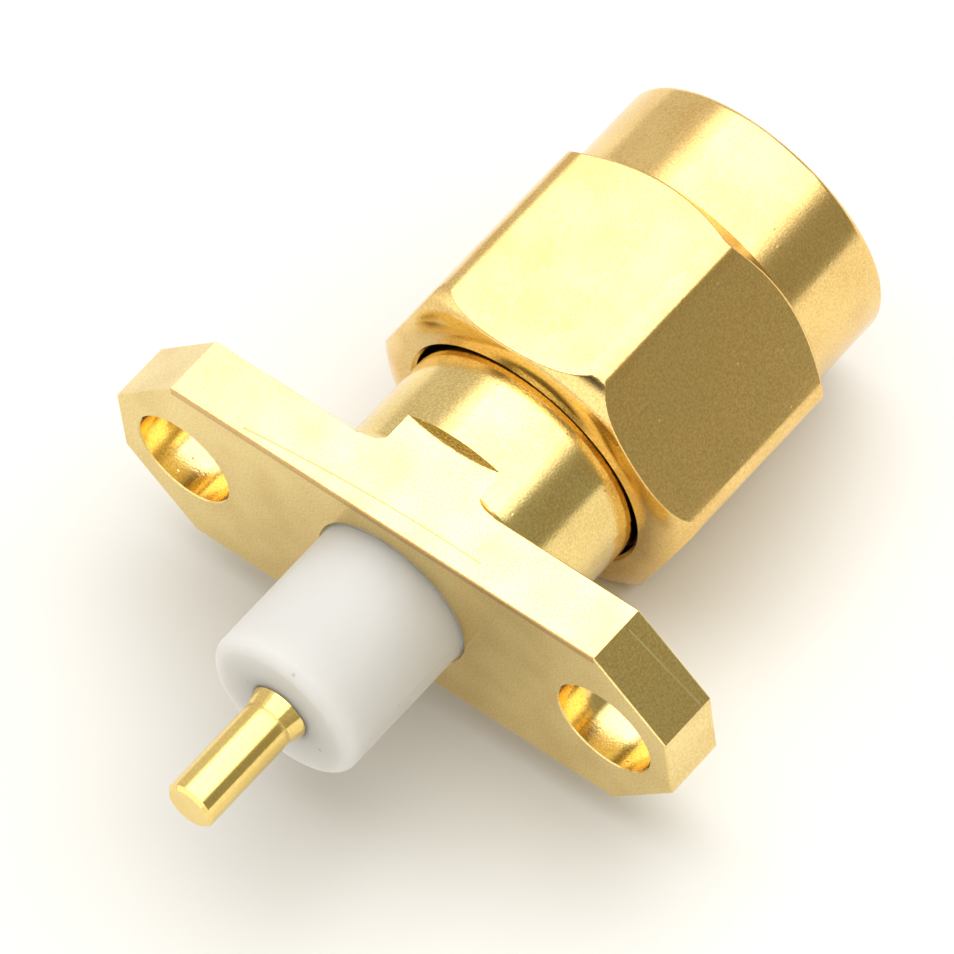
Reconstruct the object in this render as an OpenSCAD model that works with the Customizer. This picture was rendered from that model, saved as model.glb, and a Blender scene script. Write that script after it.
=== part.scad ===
// Coaxial plug with a 6.35 mm threaded coupling nut and a two-hole panel flange.
// Its insulator and solder post stand out behind the flange. All sizes are in millimetres.
// +Y runs along the connector towards its mating end, X is the long way of the flange, +Z is up.
// The origin is on the axis, in the flange's rear face, which seats on the panel.

/* [Flange] */
// Length of the flange, along X
flange_l = 15.9; // [15.4:0.1:18]
// Width of the flange across its two long edges, along Z
flange_w = 5.6; // [5.5:0.05:6]
// Thickness of the flange
flange_t = 1.6; // [1.2:0.05:2]
// Size of the 45 degree cut at each corner
corner_cut = 1.85; // [1:0.05:2]
// Distance between the two screw holes
hole_spacing = 12.2; // [11.9:0.05:12.4]
// Diameter of each screw hole
hole_d = 2.6; // [2.2:0.1:2.7]
// Break on the flange's sharp edges
plate_break = 0.03; // [0.02:0.01:0.12]
// Break on the rim of each hole
hole_break = 0.03; // [0.02:0.01:0.15]

/* [Barrel] */
// Diameter of the barrel in front of the flange
barrel_d = 6.2; // [6:0.05:6.3]
// Length of the two flats on the barrel, from the flange's front face
flat_l = 1; // [0.5:0.05:1.5]
// Radius in the corner between the barrel and the flange's front face
root_round = 0.3; // [0.1:0.05:0.4]
// Distance from the panel face to the barrel's front shoulder
shoulder_y = 7; // [6.9:0.05:7.2]
// Distance from the panel face to the reference plane, where the tube ends
plane_y = 9.45; // [9.3:0.05:9.8]
// Outer diameter of the contact tube
tube_d = 4.58; // [4.5:0.01:4.6]

/* [Insulator and contact] */
// Diameter of the body's bore, and of the insulator that is pressed into it
insulator_d = 4.1; // [4.05:0.05:4.15]
// Diameter of the insulator behind the flange
boss_d = 4.05; // [3.8:0.05:4.05]
// Length of insulator that stands out behind the flange
boss_l = 3.9; // [2:0.1:8]
// Radius on the insulator's rear edge
boss_round = 0.32; // [0.1:0.02:0.5]
// Diameter of the solder post
post_d = 1.27; // [1.2:0.01:1.3]
// Length of post that stands out behind the insulator
post_l = 3.15; // [2:0.05:6]
// Length of the taper by which the post widens towards the insulator
post_flare = 0.4; // [0.1:0.05:0.45]
// Diameter of the mating pin
pin_d = 0.92; // [0.9:0.01:0.94]
// Length of pin in front of the reference plane
pin_l = 2.3; // [2:0.05:2.5]

/* [Coupling nut] */
// Width of the hexagon across its flats, 5/16 inch
hex_af = 7.94; // [7.9:0.02:8.1]
// Radius on the hexagon's six long edges
hex_round = 0.5; // [0.3:0.05:0.8]
// Angle that the nut is turned to, from the one with a flat on top
nut_turn = 2; // [0:1:59]
// Distance from the panel face to the nut's rear face
nut_y = 4.65; // [4.5:0.05:4.9]
// Length of the hexagon along the axis
hex_l = 5.85; // [5.5:0.05:6.1]
// Diameter of the flat that is left on the hexagon's crowned rear end
crown_d = 7.1; // [7:0.05:7.4]
// Radius of the crowning
crown_round = 1; // [0.95:0.05:1.2]
// Angle of the bevel on the hexagon's front end, from the axis
front_bevel = 46; // [40:1:60]
// Diameter of the round collar in front of the hexagon
nose_d = 7.4; // [7.3:0.05:7.6]
// Length of the round collar
nose_l = 2.45; // [2:0.05:2.8]
// Bore behind the thread, which turns on the barrel
nut_bore_d = 6.46; // [6.4:0.02:6.5]
// Bore at the crests of the thread
thread_bore_d = 5.66; // [5.6:0.02:5.75]

/* [Ring and gasket] */
// Width of the snap ring along the axis
ring_w = 0.5; // [0.4:0.05:0.55]
// Gap between the snap ring's ends
ring_gap = 1.4; // [0.8:0.1:2]
// Thickness of the gasket in front of the shoulder
gasket_t = 0.75; // [0.6:0.05:0.8]

/* [Hidden] */
$fn = 96;

gold = [0.92, 0.76, 0.42];
overrun = 1;                          // how far a cutter runs past what it cuts

// Flange
hole_r = hole_d / 2;
barrel_r = barrel_d / 2;
flat_end_y = flange_t + flat_l;
bore_break = 0.06;                    // bevel round the insulator in the panel face
barrel_break = 0.1;                   // bevel on the shoulder, and how far the front land is turned down
tube_break = 0.05;

// Snap ring, in a groove of the barrel and one of the nut that is a little wider
groove_y = 5.95;                      // rear wall of the barrel's groove, on which the ring bears
groove_w = ring_w + 0.1;
groove_r = 2.62;
ring_in_r = 2.7;
ring_out_r = 3.36;
nut_groove_r = 3.44;
ring_play = 0.1;                      // the ring's room in the nut's groove, on each side

// Nut
hex_front_y = nut_y + hex_l;
mouth_y = hex_front_y + nose_l;
thread_y = shoulder_y + gasket_t + 0.15;
thread_slope = tan(30);               // how the thread's bore opens behind the thread
mouth_bevel = 0.5;                    // lead-in at the mouth
nose_round = 0.16;                    // rounding on the collar's front edge
lip_break = 0.1;                      // bevel inside the nut's rear edge

// Insulator and contact
boss_y = -boss_l;
post_tip_y = -boss_l - post_l;
post_break = 0.09;
foot_r = 0.8;                         // the contact's foot, just inside the insulator
foot_ys = [boss_y + 0.2, boss_y + 0.7];
barb_ys = [2.2, 3.4];                 // rear ends of the two barbs that hold the contact
barb_l = 0.9;
barb_r = 0.8;
pin_step = 0.1;                       // the contact's shoulder stands this far behind the reference plane
pin_taper = 0.62;
pin_end_r = 0.16;

// A circle's quarter as points: centre [r, y], from angle a0 to a1
function arc(r, y, radius, a0, a1, steps = 6) =
    [for (i = [0 : steps]) let (a = a0 + (a1 - a0) * i / steps) [r + radius * cos(a), y + radius * sin(a)]];

// Turns a [radius, y] outline about the connector's axis
module turned(points) {
    rotate([-90, 0, 0]) rotate_extrude() polygon(points);
}

// A cylinder on the connector's axis, from y0 to y1
module round_bar(r, y0, y1) {
    translate([0, y0, 0]) rotate([-90, 0, 0]) cylinder(r = r, h = y1 - y0);
}

// The flange's outline, inset by d, as a slab from y0 to y1
module flange_slab(d, y0, y1) {
    x = flange_l / 2 - d;
    z = flange_w / 2 - d;
    cut = corner_cut - d * (2 - sqrt(2));
    outline = [[x, z - cut], [x - cut, z], [cut - x, z], [-x, z - cut],
               [-x, cut - z], [cut - x, -z], [x - cut, -z], [x, cut - z]];
    translate([0, y1, 0]) rotate([90, 0, 0]) linear_extrude(y1 - y0) polygon(outline);
}

module flange_plate() {
    hull() {
        flange_slab(0, plate_break, flange_t - plate_break);
        flange_slab(plate_break, 0, flange_t);
    }
}

// A screw hole with both rims broken
module screw_hole() {
    turned([[0, -overrun], [hole_r + hole_break + overrun, -overrun], [hole_r, hole_break],
            [hole_r, flange_t - hole_break], [hole_r + hole_break + overrun, flange_t + overrun],
            [0, flange_t + overrun]]);
}

// The barrel behind the step and the fillet at its root, planed level with the flange's long edges
module flatted_barrel() {
    root_r = barrel_r + root_round;
    intersection() {
        turned(concat([[0, flange_t / 2], [root_r, flange_t / 2]],
                      arc(root_r, flange_t + root_round, root_round, -90, -180),
                      [[barrel_r, flat_end_y], [0, flat_end_y]]));
        translate([-root_r, 0, -flange_w / 2]) cube([2 * root_r, flat_end_y, flange_w]);
    }
}

// The round barrel in front of the flats, with its ring groove, shoulder and contact tube
module barrel() {
    front_y = groove_y + groove_w;
    land_r = barrel_r - barrel_break;
    tube_r = tube_d / 2;
    turned([[0, flat_end_y], [barrel_r, flat_end_y],
            [barrel_r, groove_y], [groove_r, groove_y], [groove_r, front_y],
            [land_r, front_y], [land_r, shoulder_y - barrel_break],
            [land_r - barrel_break, shoulder_y], [tube_r, shoulder_y],
            [tube_r, plane_y - tube_break], [tube_r - tube_break, plane_y], [0, plane_y]]);
}

module flange_body() {
    color(gold) difference() {
        union() {
            flange_plate();
            flatted_barrel();
            barrel();
        }
        round_bar(insulator_d / 2, -overrun, plane_y + overrun);
        turned([[0, -overrun], [insulator_d / 2 + bore_break + overrun, -overrun],
                [insulator_d / 2, bore_break], [0, bore_break]]);
        for (side = [-1, 1]) translate([side * hole_spacing / 2, 0, 0]) screw_hole();
    }
}

// The hexagon's outline with rounded corners
function hex_points() =
    let (r = (hex_af / 2 - hex_round) / cos(30))
    [for (a = [0 : 60 : 300]) each arc(r * cos(a), r * sin(a), hex_round, a - 30, a + 30, 4)];

// The hexagon, crowned behind and bevelled in front, so that each flat ends in two shallow curves
module hexagon() {
    r = crown_d / 2;
    nose_r = nose_d / 2;
    bevel_l = (r + crown_round - nose_r) / tan(front_bevel);
    intersection() {
        translate([0, hex_front_y, 0]) rotate([0, -nut_turn, 0]) rotate([90, 0, 0])
            linear_extrude(hex_l) polygon(hex_points());
        turned(concat([[0, nut_y]], arc(r, nut_y + crown_round, crown_round, -90, 0),
                      [[r + crown_round, hex_front_y - bevel_l], [nose_r, hex_front_y], [0, hex_front_y]]));
    }
}

module nose() {
    edge = arc(nose_d / 2 - nose_round, mouth_y - nose_round, nose_round, 0, 90);
    turned(concat([[0, hex_front_y - overrun], [nose_d / 2, hex_front_y - overrun]], edge, [[0, mouth_y]]));
}

// Everything that is bored out of the nut: rear bore, ring groove, thread and mouth
module nut_bores() {
    r = nut_bore_d / 2;
    thread_r = thread_bore_d / 2;
    front_y = groove_y + ring_w + ring_play;
    turned([[0, nut_y - overrun], [r + lip_break + overrun, nut_y - overrun], [r, nut_y + lip_break],
            [r, groove_y - ring_play], [nut_groove_r, groove_y - ring_play],
            [nut_groove_r, front_y], [r, front_y],
            [r, thread_y], [thread_r, thread_y + (r - thread_r) * thread_slope],
            [thread_r, mouth_y - mouth_bevel], [thread_r + mouth_bevel + overrun, mouth_y + overrun],
            [0, mouth_y + overrun]]);
}

module coupling_nut() {
    color(gold) difference() {
        union() {
            hexagon();
            nose();
        }
        nut_bores();
    }
}

// A snap ring, open at the bottom, that locks the nut to the barrel and lets it turn
module retaining_ring() {
    color([0.8, 0.68, 0.36]) difference() {
        round_bar(ring_out_r, groove_y, groove_y + ring_w);
        round_bar(ring_in_r, groove_y - overrun, groove_y + ring_w + overrun);
        translate([-ring_gap / 2, groove_y - overrun, -ring_out_r - overrun])
            cube([ring_gap, ring_w + 2 * overrun, ring_out_r]);
    }
}

// A soft washer on the shoulder, round the foot of the contact tube
module gasket() {
    color([0.72, 0.2, 0.14]) difference() {
        round_bar(barrel_r - 0.05, shoulder_y, shoulder_y + gasket_t);
        round_bar(tube_d / 2, shoulder_y - overrun, shoulder_y + gasket_t + overrun);
    }
}

// The contact's outline without its pin: post, taper, foot, shank and two barbs
function shank_points() =
    let (r = post_d / 2,
         rise = (foot_r - r) / (foot_ys[0] - boss_y + post_flare))
    concat([[0, post_tip_y], [r - post_break, post_tip_y], [r, post_tip_y + post_break],
            [r, boss_y - post_flare], [r + rise * post_flare, boss_y],
            [foot_r, foot_ys[0]], [foot_r, foot_ys[1]], [r, foot_ys[1]]],
           [for (y = barb_ys) each [[r, y], [barb_r, y], [r, y + barb_l]]],
           [[r, plane_y - pin_step]]);

module centre_contact() {
    tip_y = plane_y + pin_l;
    color(gold) turned(concat(shank_points(),
        [[pin_d / 2, plane_y - pin_step], [pin_d / 2, tip_y - pin_taper]],
        arc(0, tip_y - pin_end_r, pin_end_r, 20, 90, 4)));
}

// The insulator fills the bore from the boss to the reference plane and grips the shank
module insulator() {
    bore_r = insulator_d / 2;
    boss_r = boss_d / 2;
    shank = [for (p = shank_points()) if (p[1] >= boss_y && p[0] <= barb_r) p];
    // the shank's points run forward along the inside wall, and the outside wall comes back
    color([0.96, 0.96, 0.94])
        turned(concat(shank, [[post_d / 2, plane_y], [bore_r, plane_y], [bore_r, 0], [boss_r, 0]],
            arc(boss_r - boss_round, boss_y + boss_round, boss_round, 0, -90, 12)));
}

flange_body();
coupling_nut();
retaining_ring();
gasket();
insulator();
centre_contact();
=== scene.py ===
# SMA plug with a panel flange: looks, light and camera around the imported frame.
# The frame's axes: +Y towards the mating end, X along the flange, +Z out of a flat of the hexagon.
import math

import bpy
import bmesh
from mathutils import Matrix, Vector


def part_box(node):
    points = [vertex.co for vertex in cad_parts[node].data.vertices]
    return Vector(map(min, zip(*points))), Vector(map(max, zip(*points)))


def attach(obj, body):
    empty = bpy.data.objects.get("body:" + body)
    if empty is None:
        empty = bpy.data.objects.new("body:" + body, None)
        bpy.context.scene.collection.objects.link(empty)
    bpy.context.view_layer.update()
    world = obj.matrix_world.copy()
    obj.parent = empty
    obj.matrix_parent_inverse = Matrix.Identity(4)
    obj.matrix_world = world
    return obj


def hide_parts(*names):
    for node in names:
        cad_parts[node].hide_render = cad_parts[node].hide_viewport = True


mm = 0.001


def hexColour(code, strength=1.0):
    # sRGB hex to the linear RGBA that shaders take, times a strength for what glows
    parts = [int(code[i:i + 2], 16) / 255 for i in (1, 3, 5)]
    linear = [c / 12.92 if c <= 0.04045 else ((c + 0.055) / 1.055) ** 2.4 for c in parts]
    return (*(c * strength for c in linear), 1.0)


def addNode(tree, kind, settings=None, links=None):
    # one node, its settings (attributes or input values) and what feeds it: sockets, or nodes
    # that give their first output
    node = tree.nodes.new(kind)
    for key, value in (settings or {}).items():
        if isinstance(key, str) and hasattr(node, key):
            setattr(node, key, value)
        else:
            node.inputs[key].default_value = value
    for key, source in (links or {}).items():
        socket = source.outputs[0] if hasattr(source, "outputs") else source
        tree.links.new(socket, node.inputs[key])
    return node


def newMaterial(name, settings):
    # a Principled material and its tree, with constants set on the shader's own sockets
    material = bpy.data.materials.new(name)
    material.use_nodes = True
    tree = material.node_tree
    shader = tree.nodes["Principled BSDF"]
    for key, value in settings.items():
        shader.inputs[key].default_value = value
    return material, tree, shader


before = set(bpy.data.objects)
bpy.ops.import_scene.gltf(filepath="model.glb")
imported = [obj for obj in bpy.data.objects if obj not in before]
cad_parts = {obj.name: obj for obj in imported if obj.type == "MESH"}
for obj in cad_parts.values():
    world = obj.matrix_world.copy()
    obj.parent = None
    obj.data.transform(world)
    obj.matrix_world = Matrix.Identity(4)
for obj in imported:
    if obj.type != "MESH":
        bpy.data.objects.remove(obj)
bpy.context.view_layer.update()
print("frame loaded:", len(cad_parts), "nodes")

goldPlate = {
    "grainMm": 0.055,           # the plating's grain, coarser than the real one so that it shows
    "patchMm": 1.3,             # slow drift of the plating's thickness
    "patchShare": 0.6,          # what the drift counts for in the tone, against 1 for the grain
    "toneRange": (0.6, 1.0),    # their sum, from the pale colour to the deep one
    "patchRange": (0.3, 0.7),   # the drift, from the smoother plate to the rougher
    "smoother": 0.8,            # times a piece's roughness
    "rougher": 1.25,
    "speckMm": 0.42,            # distance between the bright grains that stand out
    "speckReach": 0.12,         # their radius, as a share of it
    "speckHeight": 2.5,         # times the grain's depth
}


def goldPlateMaterial(name, piece):
    # electroplated gold on tumbled brass: bright, a little satin, with a fine sparkling grain
    material, tree, shader = newMaterial(name, {"Metallic": 1.0})
    place = addNode(tree, "ShaderNodeTexCoord").outputs["Object"]
    grain, patch = (
        addNode(tree, "ShaderNodeTexNoise", {"Scale": 1 / (goldPlate[size] * mm), "Detail": 1.0},
                {"Vector": place})
        for size in ("grainMm", "patchMm"))
    speck = addNode(tree, "ShaderNodeTexVoronoi", {"Scale": 1 / (goldPlate["speckMm"] * mm)},
                    {"Vector": place})

    low, high = goldPlate["toneRange"]
    drift = addNode(tree, "ShaderNodeMath",
                    {"operation": "MULTIPLY_ADD", 1: goldPlate["patchShare"]},
                    {0: patch, 2: grain})
    tone = addNode(tree, "ShaderNodeMapRange", {"From Min": low, "From Max": high},
                   {"Value": drift})
    colour = addNode(tree, "ShaderNodeMix",
                     {"data_type": "RGBA", 6: hexColour(piece["colour"]),
                      7: hexColour(piece["deepColour"])}, {0: tone})

    # fine lines over the plate, each a band along its path that stops at its limits: real
    # scratches, and lines of painted highlight and painted shade
    x, y, z = addNode(tree, "ShaderNodeSeparateXYZ", {}, {"Vector": place}).outputs
    for line in piece.get("scratchesAndPaintedLight", ()):
        along = addNode(tree, "ShaderNodeMath", {"operation": "SUBTRACT", 1: line["middle"] * mm},
                        {0: x})
        lean = addNode(tree, "ShaderNodeMath",
                       {"operation": "MULTIPLY_ADD", 1: line["bow"] / mm, 2: line["slope"]},
                       {0: along})
        path = addNode(tree, "ShaderNodeMath", {"operation": "MULTIPLY_ADD", 2: line["at"] * mm},
                       {0: lean, 1: along})
        offset = addNode(tree, "ShaderNodeMath", {"operation": "SUBTRACT"}, {0: y, 1: path})
        away = addNode(tree, "ShaderNodeMath", {"operation": "ABSOLUTE"}, {0: offset})
        mask = addNode(tree, "ShaderNodeMapRange",
                       {"From Min": line["width"] * mm, "From Max": 0.0, "To Max": line["share"]},
                       {"Value": away})
        for value, operation, limit in ((x, "GREATER_THAN", line["from"]),
                                        (z, "GREATER_THAN", line["above"]),
                                        (x, "LESS_THAN", line["to"])):
            inside = addNode(tree, "ShaderNodeMath", {"operation": operation, 1: limit * mm},
                             {0: value})
            mask = addNode(tree, "ShaderNodeMath", {"operation": "MULTIPLY"},
                           {0: mask, 1: inside})
        colour = addNode(tree, "ShaderNodeMix",
                         {"data_type": "RGBA", 7: hexColour(line["colour"])},
                         {0: mask, 6: colour.outputs[2]})

    low, high = goldPlate["patchRange"]
    rough = addNode(tree, "ShaderNodeMapRange",
                    {"From Min": low, "From Max": high,
                     "To Min": piece["roughness"] * goldPlate["smoother"],
                     "To Max": piece["roughness"] * goldPlate["rougher"]},
                    {"Value": patch})
    pip = addNode(tree, "ShaderNodeMapRange",
                  {"From Min": 0.0, "From Max": goldPlate["speckReach"],
                   "To Min": goldPlate["speckHeight"], "To Max": 0.0},
                  {"Value": speck})
    height = addNode(tree, "ShaderNodeMath", {"operation": "ADD"}, {0: grain, 1: pip})
    bump = addNode(tree, "ShaderNodeBump",
                   {"Strength": 1.0, "Distance": piece["grainDepthMm"] * mm}, {"Height": height})
    tree.links.new(colour.outputs[2], shader.inputs["Base Color"])
    tree.links.new(rough.outputs["Result"], shader.inputs["Roughness"])
    tree.links.new(bump.outputs["Normal"], shader.inputs["Normal"])
    return material


flangeBody = {
    "colour": "#F3DB94",
    "deepColour": "#DDBF78",
    "roughness": 0.16,
    "grainDepthMm": 0.0014,
    # y = at + slope (x - middle) + bow (x - middle)^2, between two x and above a z, all in mm;
    # share is how much of the plate's colour the line takes over
    "scratchesAndPaintedLight": [
        # a cutter's scratch on the top, a painted highlight along a scratch on the bevelled end,
        # and a painted dark reflection along the rear edge's break
        {"at": 0.49, "slope": 0, "bow": -0.0105, "middle": 1.5, "from": -4.1, "to": 2.5,
         "above": 2.6, "width": 0.03, "colour": "#7C4E22", "share": 0.8},
        # painted highlight: a scratch on the bevelled end, coloured like the light it catches
        {"at": 1.1, "slope": 0.114, "bow": 0, "middle": 6.1, "from": 6.2, "to": 7.9,
         "above": 0.95, "width": 0.035, "colour": "#FFF3BE", "share": 0.9},
        # painted shade: a dark line along the rear edge's break, where a dark reflection falls
        {"at": 0.012, "slope": 0, "bow": 0, "middle": 0, "from": -6.1, "to": 6.1,
         "above": 2.6, "width": 0.035, "colour": "#9C5A2C", "share": 0.65},
    ],
}

centreContact = {               # plated brighter than the rest
    "colour": "#F6DB8A",
    "deepColour": "#EACA78",
    "roughness": 0.12,
    "grainDepthMm": 0.0008,
}

retainingRing = {               # bare spring bronze, duller and browner than the plate
    "colour": "#B98A55",
    "deepColour": "#9C6F40",
    "roughness": 0.3,
    "grainDepthMm": 0.0012,
}

insulator = {
    "colour": "#C0BFBD",
    "glowDepthMm": 2.0,         # how far light wanders inside
    "glowTint": (1.0, 0.93, 0.84),
    "skinMm": 0.12,             # unevenness of the cut skin, coarser than real so that it shows
    "skinDepthMm": 0.004,
    "skinStrength": 0.6,
    "speckMm": 1.1,             # distance between the specks of swarf
    "speckReach": (0.02, 0.06), # their dark middle and faded edge, as shares of it
    "speckShare": 0.55,
    "speckColour": "#8C857A",
}


def ptfeMaterial():
    # PTFE, turned: dense waxy white, lit from within, with a few dark specks of swarf
    material, tree, shader = newMaterial("ptfeTurned", {
        "Roughness": 0.5,
        "Subsurface Weight": 1.0,
        "Subsurface Radius": insulator["glowTint"],
        "Subsurface Scale": insulator["glowDepthMm"] * mm,
        "IOR": 1.35,
    })
    place = addNode(tree, "ShaderNodeTexCoord").outputs["Object"]
    speck = addNode(tree, "ShaderNodeTexVoronoi", {"Scale": 1 / (insulator["speckMm"] * mm)},
                    {"Vector": place})
    middle, edge = insulator["speckReach"]
    dark = addNode(tree, "ShaderNodeMapRange",
                   {"From Min": middle, "From Max": edge,
                    "To Min": insulator["speckShare"], "To Max": 0.0},
                   {"Value": speck})
    colour = addNode(tree, "ShaderNodeMix",
                     {"data_type": "RGBA", 6: hexColour(insulator["colour"]),
                      7: hexColour(insulator["speckColour"])}, {0: dark})
    skin = addNode(tree, "ShaderNodeTexNoise",
                   {"Scale": 1 / (insulator["skinMm"] * mm), "Detail": 2.0}, {"Vector": place})
    bump = addNode(tree, "ShaderNodeBump",
                   {"Strength": insulator["skinStrength"],
                    "Distance": insulator["skinDepthMm"] * mm}, {"Height": skin})
    tree.links.new(colour.outputs[2], shader.inputs["Base Color"])
    tree.links.new(bump.outputs["Normal"], shader.inputs["Normal"])
    return material


gasket = {
    "colour": "#A8321F",
    "skinMm": 0.12,             # dimples that the mould leaves
    "skinDepthMm": 0.006,
    "skinStrength": 0.5,
}


def siliconeMaterial():
    # moulded silicone rubber, matt brick red
    material, tree, shader = newMaterial("siliconeMoulded", {
        "Base Color": hexColour(gasket["colour"]),
        "Roughness": 0.55,
    })
    place = addNode(tree, "ShaderNodeTexCoord").outputs["Object"]
    skin = addNode(tree, "ShaderNodeTexNoise", {"Scale": 1 / (gasket["skinMm"] * mm)},
                   {"Vector": place})
    bump = addNode(tree, "ShaderNodeBump",
                   {"Strength": gasket["skinStrength"], "Distance": gasket["skinDepthMm"] * mm},
                   {"Height": skin})
    tree.links.new(bump.outputs["Normal"], shader.inputs["Normal"])
    return material


finishes = {
    "flange_body": goldPlateMaterial("goldPlateBody", flangeBody),
    "centre_contact": goldPlateMaterial("goldPlateContact", centreContact),
    "retaining_ring": goldPlateMaterial("springBronze", retainingRing),
    "insulator": ptfeMaterial(),
    "gasket": siliconeMaterial(),
}
for nodeName, material in finishes.items():
    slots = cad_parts[nodeName].data.materials
    slots.clear()
    slots.append(material)
print("materials set:", len(finishes))

nut = {                         # sizes in mm, angles in degrees, round sizes are diameters
    "acrossFlats": 7.94,
    "cornerRound": 0.5,
    "turn": 2,                  # from a flat on top
    "hexFront": 2.66,           # distance from the mouth back to the hexagon's front end
    "crownFlat": 7.1,           # where the hexagon's rear end starts to round off
    "crownRound": 1.0,
    "rearEdge": 0.06,           # how softly the rear end rolls over into the flats
    "frontBevel": 50,           # from the axis
    "bevelCircle": 7.84,        # where the bevel meets the flat step down to the collar
    "frontEdge": 0.08,          # how softly the flats roll over into the bevel
    "collar": 7.4,
    "collarRound": 0.16,
    "rearBore": 6.4,
    "lip": 0.08,                # bevel of the rear bore
    "grooveRear": 1.2,          # the snap ring's groove, measured from the rear face
    "grooveFront": 1.9,
    "groove": 6.88,
    "threadRear": 3.25,         # where the thread starts, from the rear face
    "leadIn": 30,               # its first turn climbs out of a cone, this far off the end's plane
    "pitch": 25.4 / 36,         # 1/4-36 UNS, right hand
    "crest": 5.66,
    "root": 6.35,
    "flank": 30,                # half of the thread's angle
    "rootWidth": 0.125,         # flat of the root, as a share of the pitch
    "mouthBevel": 0.5,
    "steps": 240,               # points round the axis
    "threadRows": 16,           # rows to one pitch
    # extra rings beside the edges, which keep the smooth shading true
    "lipRings": (0, 0.1, 0.2),              # mm out from the lip
    "flatRings": (0.3, 0.5, 0.7),           # shares of the hexagon's length
    "bevelRings": (1.0, 0.97, 0.5, 0.0),    # shares of the bevel, down to its circle
    "stepRing": 0.02,                       # mm past the step
    "collarRings": (0.1, 0.4, 0.7),         # shares of the collar's length
    "roundStep": 3,             # degrees from ring to ring round the hexagon's edges
    "collarStep": 10,           # the same at the mouth
    "mergeMm": 0.0005,          # points nearer than this become one
    "sliverMm": 0.0002,         # faces thinner than this go
    "sharp": 30,                # edges that turn more than this stay crisp
    "colour": "#F2D38B",
    "deepColour": "#DFB872",
    "roughness": 0.17,
    "grainDepthMm": 0.0012,
}


def hexRadius(angle):
    # distance from the axis to the rounded hexagon, in mm
    apothem, rounding = nut["acrossFlats"] / 2, nut["cornerRound"]
    off = abs((math.degrees(angle) - nut["turn"]) % 60 - 30)     # from the middle of a flat
    halfFlat = (apothem - rounding) * math.tan(math.radians(30))
    if math.tan(math.radians(off)) * apothem <= halfFlat:
        return apothem / math.cos(math.radians(off))
    reach = (apothem - rounding) / math.cos(math.radians(30))
    side = math.radians(30 - off)
    return reach * math.cos(side) + math.sqrt(rounding * rounding - (reach * math.sin(side)) ** 2)


def threadRadius(turns):
    # the thread's form over one turn: crest, flank, root, flank
    crest, root = nut["crest"] / 2, nut["root"] / 2
    flank = (root - crest) * math.tan(math.radians(nut["flank"])) / nut["pitch"]
    rootStart = 1 - flank - nut["rootWidth"]
    crestEnd = rootStart - flank
    turn = turns % 1
    if turn < crestEnd:
        return crest
    if turn < rootStart:
        return crest + (root - crest) * (turn - crestEnd) / flank
    if turn < 1 - flank:
        return root
    return crest + (root - crest) * (1 - turn) / flank


def crownPoint(angle, lean, edge):
    # where the crowned rear end's surface leans so far from straight back: depth, radius
    flatR, crown = nut["crownFlat"] / 2, nut["crownRound"]
    lift = (hexRadius(angle) - edge - flatR) / (crown - edge)
    turn = min(lean, math.asin(min(max(lift, 0), 1)))
    depth = crown - (crown - edge) * math.cos(turn) - edge * math.cos(lean)
    return depth, flatR + (crown - edge) * math.sin(turn) + edge * math.sin(lean)


def bevelPoint(angle, lean, edge):
    # the rounding between the bevelled front end and a flat: depth from the end, radius
    slope = math.tan(math.radians(nut["frontBevel"]))
    across = hexRadius(angle) - edge
    depth = (across + edge * math.sqrt(1 + slope * slope) - nut["bevelCircle"] / 2) / slope
    return depth - edge * math.cos(lean), across + edge * math.sin(lean)


def nutOutside(rear, front, mouth):
    # rings from the rear lip over the hexagon and the collar to the mouth: (y, radius) at an angle
    collar, circle, edge = nut["collar"] / 2, nut["bevelCircle"] / 2, nut["collarRound"]
    leans = [math.radians(lean) for lean in range(0, 91, nut["roundStep"])]
    bevelLean = math.radians(90 - nut["frontBevel"])

    def plain(y, radius):
        return lambda angle: (y, radius)

    def flats(share):
        return lambda angle: (rear + (front - rear) * share, hexRadius(angle))

    def rearCrown(lean):
        def at(angle):
            depth, radius = crownPoint(angle, lean, nut["rearEdge"])
            return rear + depth, radius
        return at

    def frontBevel(lean, share=1.0):
        def at(angle):
            depth, radius = bevelPoint(angle, lean, nut["frontEdge"])
            return front - depth * share, circle + (radius - circle) * share
        return at

    rings = [plain(rear, nut["rearBore"] / 2 + nut["lip"] + out) for out in nut["lipRings"]]
    rings += [rearCrown(lean) for lean in leans]
    rings += [flats(share) for share in nut["flatRings"]]
    rings += [frontBevel(lean) for lean in reversed(leans) if lean > bevelLean]
    rings += [frontBevel(bevelLean, share) for share in nut["bevelRings"]]
    rings += [plain(front, collar), plain(front + nut["stepRing"], collar)]
    rings += [plain(front + (mouth - front) * share, collar) for share in nut["collarRings"]]
    for degrees in range(0, 91, nut["collarStep"]):
        out, on = math.cos(math.radians(degrees)), math.sin(math.radians(degrees))
        rings.append(plain(mouth - edge + edge * on, collar - edge + edge * out))
    rings.append(plain(mouth, nut["crest"] / 2 + nut["mouthBevel"]))
    return rings


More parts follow.
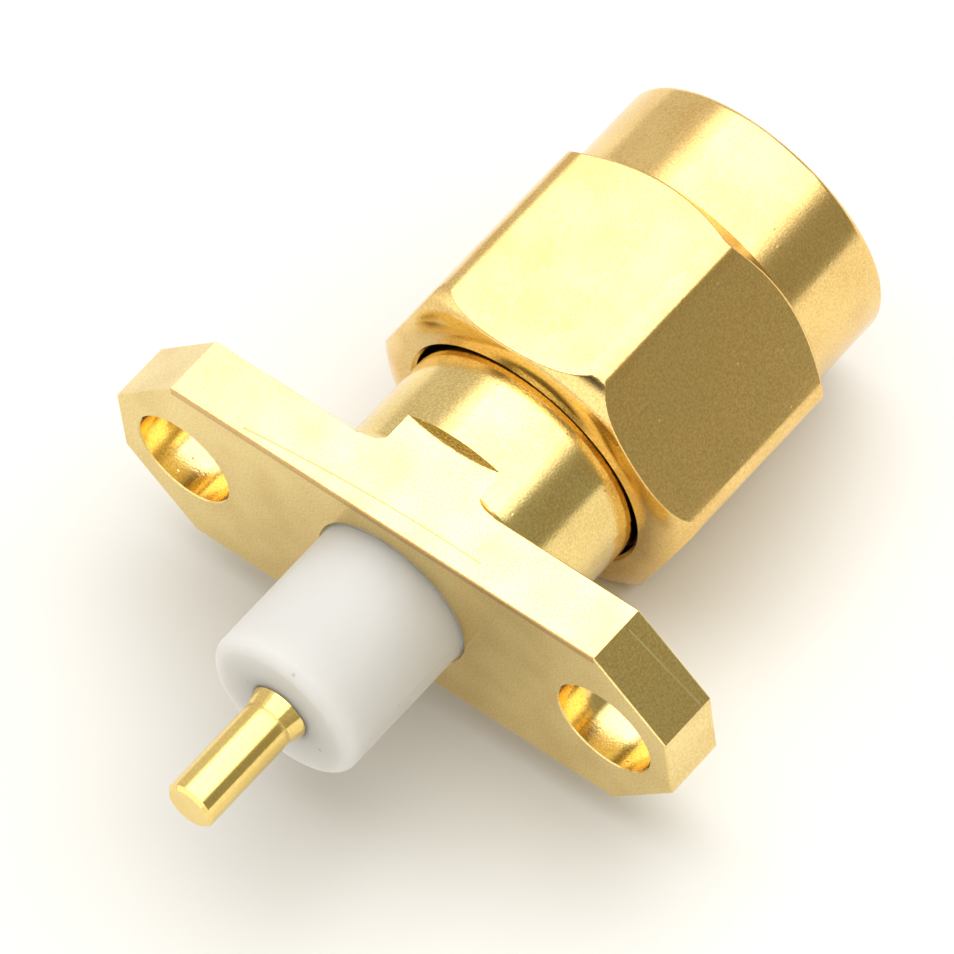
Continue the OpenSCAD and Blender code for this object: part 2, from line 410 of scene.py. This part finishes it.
def buildNut():
    low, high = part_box("coupling_nut")
    rear, mouth = low.y / mm, high.y / mm
    front = mouth - nut["hexFront"]
    steps, pitch, rows = nut["steps"], nut["pitch"], nut["threadRows"]
    angles = [2 * math.pi * i / steps for i in range(steps)]
    mesh = bmesh.new()

    def point(angle, y, r):
        return mesh.verts.new((r * math.cos(angle) * mm, y * mm, r * math.sin(angle) * mm))

    outside = [[point(angle, *at(angle)) for angle in angles]
               for at in nutOutside(rear, front, mouth)]
    bore, groove, threadStart = nut["rearBore"] / 2, nut["groove"] / 2, rear + nut["threadRear"]
    grooveRear, grooveFront = rear + nut["grooveRear"], rear + nut["grooveFront"]
    inside = [[point(angle, y, r) for angle in angles] for y, r in (
        (threadStart, bore), (grooveFront, bore), (grooveFront, groove), (grooveRear, groove),
        (grooveRear, bore), (rear + nut["lip"], bore), (rear, bore + nut["lip"]))]
    for chain in (outside, inside):
        for first, second in zip(chain, chain[1:]):
            for i in range(steps):
                n = (i + 1) % steps
                mesh.faces.new((first[i], first[n], second[n], second[i]))

    # the thread: rows that climb one pitch in a turn, cut off at the mouth and at the rear bore
    crest = nut["crest"] / 2
    rowCount = math.ceil(rows * ((mouth - threadStart) / pitch + 1)) + 1

    def threadPoint(i, k):
        y = min(max(threadStart + pitch * (k / rows - i / steps), threadStart), mouth)
        rearCone = bore - (y - threadStart) / math.tan(math.radians(nut["leadIn"]))
        frontCone = crest + nut["mouthBevel"] - (mouth - y)
        return point(angles[i], y, max(threadRadius(k / rows), rearCone, frontCone))

    thread = [[threadPoint(i, k) for i in range(steps)] for k in range(rowCount)]
    for k in range(rowCount - 1):
        here, above = thread[k], thread[k + 1]
        for i in range(steps - 1):
            mesh.faces.new((here[i], here[i + 1], above[i + 1], above[i]))
        # a full turn on, a row meets the one that lies a pitch below it
        seam = (here[-1], thread[max(k - rows, 0)][0], thread[max(k + 1 - rows, 0)][0], above[-1])
        mesh.faces.new(seam if len(set(seam)) == 4 else (seam[0], seam[1], seam[3]))
    bmesh.ops.remove_doubles(mesh, verts=mesh.verts, dist=nut["mergeMm"] * mm)
    bmesh.ops.dissolve_degenerate(mesh, edges=mesh.edges, dist=nut["sliverMm"] * mm)
    bmesh.ops.recalc_face_normals(mesh, faces=mesh.faces)
    data = bpy.data.meshes.new("threadedNut")
    mesh.to_mesh(data)
    mesh.free()
    data.polygons.foreach_set("use_smooth", [True] * len(data.polygons))
    data.set_sharp_from_angle(angle=math.radians(nut["sharp"]))
    piece = bpy.data.objects.new("threaded_nut", data)
    bpy.context.scene.collection.objects.link(piece)
    data.materials.append(goldPlateMaterial("goldPlateNut", nut))
    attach(piece, "nut")
    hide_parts("coupling_nut")
    return piece


nutPiece = buildNut()
print("nut built:", len(nutPiece.data.polygons), "faces")

stage = {
    "floorLow": (-130, -130),   # mm, two corners of the white sheet
    "floorHigh": (60, 130),
    "floorColour": "#DBDAD7",
}
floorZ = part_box("coupling_nut")[0].z
lowX, lowY = (side * mm for side in stage["floorLow"])
highX, highY = (side * mm for side in stage["floorHigh"])
floorMesh = bpy.data.meshes.new("floor")
floorMesh.from_pydata([(lowX, lowY, floorZ), (highX, lowY, floorZ),
                       (highX, highY, floorZ), (lowX, highY, floorZ)], [], [(0, 1, 2, 3)])
floor = bpy.data.objects.new("floor", floorMesh)
bpy.context.scene.collection.objects.link(floor)
floorMaterial = newMaterial("whitePaper", {     # matt white paper
    "Base Color": hexColour(stage["floorColour"]),
    "Roughness": 0.9,
    "Specular IOR Level": 0.2,
})[0]
floorMesh.materials.append(floorMaterial)

room = {
    # each fade is where it starts and where it is full, along one part of a direction
    "leftColour": "#E6E2DC",    # the pale side, towards -X
    "rightColour": "#A29E89",   # the dim side of the room, towards +X
    "rightFade": (-0.7, 0.5),   # x
    "sweepColour": "#FFFEFA",   # the white sheet that rises behind, towards -Y
    "sweepRadiance": 1.5,
    "sweepFade": (-0.05, -0.45),            # y
    "ceilingColour": "#6E6A5C", # over the sheet
    "ceilingFade": (0.5, 0.72),             # z
    "spillColour": "#FFFFFF",   # light that fades out past the softbox's sides
    "spillRadiance": 2.35,
    "spillMiddle": 0.175,                   # x over z
    "spillStart": (0.7, 0.72),              # x over z, away from its middle
    "spillEnd": (1.38, 0.72),
    "spillAhead": (-0.2, 0.1),              # y
    "spillAbove": (0.05, 0.3),              # z
    "cameraColour": "#2A2621",  # the dark camera
    "cameraFrom": (0.388, -0.415, 0.823),
    "cameraFade": (0.972, 0.984),           # cosine of the angle from there
    "backdropColour": "#F6F5F2",            # seen past the floor; the rest only in reflections
}
world = bpy.data.worlds.new("studio")
bpy.context.scene.world = world
world.use_nodes = True
tree = world.node_tree
towards = addNode(tree, "ShaderNodeTexCoord").outputs["Generated"]
x, y, z = addNode(tree, "ShaderNodeSeparateXYZ", {}, {"Vector": towards}).outputs
across = addNode(tree, "ShaderNodeMath", {"operation": "DIVIDE"}, {0: x, 1: z})
offset = addNode(tree, "ShaderNodeMath", {"operation": "SUBTRACT", 1: room["spillMiddle"]},
                 {0: across})
aside = addNode(tree, "ShaderNodeMath", {"operation": "ABSOLUTE"}, {0: offset})
aim = addNode(tree, "ShaderNodeVectorMath",
              {"operation": "DOT_PRODUCT", 1: room["cameraFrom"]}, {0: towards})
fades = {}
for name, source in (("rightFade", x), ("sweepFade", y), ("ceilingFade", z),
                     ("spillStart", aside), ("spillEnd", aside),
                     ("spillAhead", y), ("spillAbove", z), ("cameraFade", aim.outputs["Value"])):
    start, full = room[name]
    fades[name] = addNode(tree, "ShaderNodeMapRange",
                          {"interpolation_type": "SMOOTHSTEP",
                           "From Min": start, "From Max": full}, {"Value": source})
spill = fades["spillEnd"]
for name in ("spillStart", "spillAhead", "spillAbove"):
    spill = addNode(tree, "ShaderNodeMath", {"operation": "MULTIPLY"}, {0: spill, 1: fades[name]})

sides = addNode(tree, "ShaderNodeMix",
                {"data_type": "RGBA", 6: hexColour(room["leftColour"]),
                 7: hexColour(room["rightColour"])}, {0: fades["rightFade"]})
sweep = addNode(tree, "ShaderNodeMix",
                {"data_type": "RGBA", 6: hexColour(room["sweepColour"], room["sweepRadiance"]),
                 7: hexColour(room["ceilingColour"])}, {0: fades["ceilingFade"]})
walls = addNode(tree, "ShaderNodeMix", {"data_type": "RGBA"},
                {0: fades["sweepFade"], 6: sides.outputs[2], 7: sweep.outputs[2]})
seen = addNode(tree, "ShaderNodeLightPath").outputs["Is Camera Ray"]
for share, colour in ((spill, hexColour(room["spillColour"], room["spillRadiance"])),
                      (fades["cameraFade"], hexColour(room["cameraColour"])),
                      (seen, hexColour(room["backdropColour"]))):
    walls = addNode(tree, "ShaderNodeMix", {"data_type": "RGBA", 7: colour},
                    {0: share, 6: walls.outputs[2]})
tree.links.new(walls.outputs[2], tree.nodes["Background"].inputs["Color"])

softbox = {                     # mm, lying level over the connector
    "height": 160,
    "centre": (28, 105),
    "size": (230, 330),
    "radiance": 2.35,
}
lamp = bpy.data.lights.new("softbox", "AREA")
lamp.shape = "RECTANGLE"
lamp.size, lamp.size_y = (side * mm for side in softbox["size"])
lamp.energy = softbox["radiance"] * math.pi * lamp.size * lamp.size_y
lampObject = bpy.data.objects.new("softbox", lamp)
lampObject.location = [side * mm for side in (*softbox["centre"], softbox["height"])]
bpy.context.scene.collection.objects.link(lampObject)
print("stage and light set")

view = {
    "azimuth": 46.95,
    "elevation": 55.4,
    "roll": -9.0,
    "distanceMm": 300,
    "frameMm": 21.223582,       # width of the view at the connector
    "aimMm": (0.2, 2.93, 1.28), # the point in the middle of the view
    "sensorMm": 36,
    "clip": (0.01, 5),          # m
}
azimuth, elevation, roll = (math.radians(view[k]) for k in ("azimuth", "elevation", "roll"))
back = Vector((math.sin(azimuth) * math.cos(elevation), -math.cos(azimuth) * math.cos(elevation),
               math.sin(elevation)))
right = Vector((math.cos(azimuth), math.sin(azimuth), 0))
up = back.cross(right)
rolledRight = right * math.cos(roll) + up * math.sin(roll)
rolledUp = up * math.cos(roll) - right * math.sin(roll)
camera = bpy.data.cameras.new("camera")
camera.sensor_width = view["sensorMm"]
camera.lens = camera.sensor_width * view["distanceMm"] / view["frameMm"]
camera.clip_start, camera.clip_end = view["clip"]
cameraObject = bpy.data.objects.new("camera", camera)
cameraObject.matrix_world = Matrix((
    (rolledRight.x, rolledUp.x, back.x, 0), (rolledRight.y, rolledUp.y, back.y, 0),
    (rolledRight.z, rolledUp.z, back.z, 0), (0, 0, 0, 1)))
cameraObject.location = (Vector(view["aimMm"]) + back * view["distanceMm"]) * mm
bpy.context.scene.collection.objects.link(cameraObject)
bpy.context.scene.camera = cameraObject
bpy.context.scene.view_settings.view_transform = "Standard"
print("camera set")
